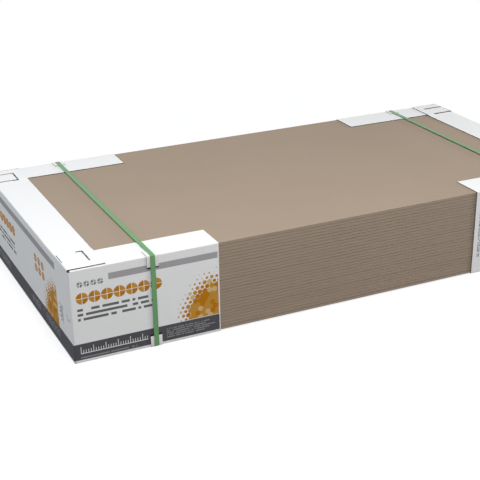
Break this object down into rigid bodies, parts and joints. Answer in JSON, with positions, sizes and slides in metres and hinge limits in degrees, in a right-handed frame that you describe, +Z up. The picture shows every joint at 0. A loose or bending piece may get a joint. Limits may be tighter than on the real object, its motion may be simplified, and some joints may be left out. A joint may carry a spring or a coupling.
{
  "type": "banded bundle of gypsum fibre roof boards",
  "caption": "Low rectangular bundle of flat gypsum fibre roof boards, held by a folded cardboard cap over each end and flat plastic straps over edge guards.",
  "frame": {"origin": "on the floor, under the middle of the bundle", "axes": "+X along the boards' length, +Y across their width, +Z up through the stack"},
  "size_m": [2.4454, 1.2322, 0.3919],
  "materials": {
    "gypsum_fibre": "matt pressed fibre, dusty",
    "cap_card": "white-faced corrugated card, printed bands on the walls",
    "guard_board": "white laminated paperboard",
    "strap_plastic": "embossed green polyester strapping, satin"
  },
  "bodies": {
    "root": {"boards": "gypsum_fibre", "end_cap_left": "cap_card", "end_cap_right": "cap_card", "edge_guard_left_front_top": "guard_board", "edge_guard_left_front_bottom": "guard_board", "edge_guard_left_back_top": "guard_board", "edge_guard_left_back_bottom": "guard_board", "edge_guard_right_front_top": "guard_board", "edge_guard_right_front_bottom": "guard_board", "edge_guard_right_back_top": "guard_board", "edge_guard_right_back_bottom": "guard_board", "strap_left": "strap_plastic", "strap_right": "strap_plastic"}
  },
  "joints": []
}
